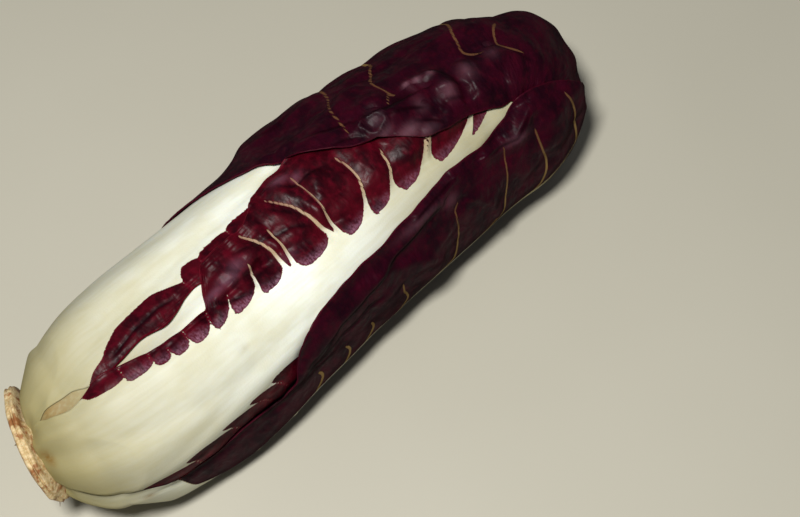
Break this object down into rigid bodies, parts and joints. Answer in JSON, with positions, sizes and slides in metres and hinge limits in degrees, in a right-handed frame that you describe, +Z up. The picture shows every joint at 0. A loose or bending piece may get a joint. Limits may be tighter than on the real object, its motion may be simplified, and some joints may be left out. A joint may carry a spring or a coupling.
{
  "type": "treviso radicchio head",
  "caption": "Long rounded head of treviso radicchio lying on its side, its pale ribbed red leaves wrapped one over another round a short cut stem.",
  "frame": {"origin": "on the surface that the head lies on, under the middle of its bounding box", "axes": "+X along the head from the cut stem to the tip, +Z up from the surface it lies on"},
  "size_m": [0.2162, 0.0776, 0.065],
  "materials": {
    "dark_leaf": "satin, deep wine to near-black, with tan veins",
    "red_leaf": "satin, wine red blade on a creamy white rib",
    "root": "matt, cream with orange-brown stains"
  },
  "bodies": {
    "root": {"stem": "root", "leaf_01_front_wrapper": "dark_leaf", "leaf_02_back_wrapper": "dark_leaf", "leaf_03_top": "red_leaf", "leaf_04_underside": "red_leaf", "leaf_05_back_rib": "red_leaf", "leaf_06_inner": "red_leaf", "leaf_07_inner": "red_leaf", "leaf_08_inner": "red_leaf", "leaf_09_inner": "red_leaf", "leaf_10_inner": "red_leaf", "leaf_11_inner": "red_leaf", "leaf_12_inner": "red_leaf", "leaf_13_inner": "red_leaf", "leaf_14_inner": "red_leaf", "leaf_15_inner": "red_leaf", "leaf_16_inner": "red_leaf", "leaf_17_inner": "red_leaf", "leaf_18_inner": "red_leaf", "leaf_19_inner": "red_leaf", "leaf_20_inner": "red_leaf"}
  },
  "joints": []
}
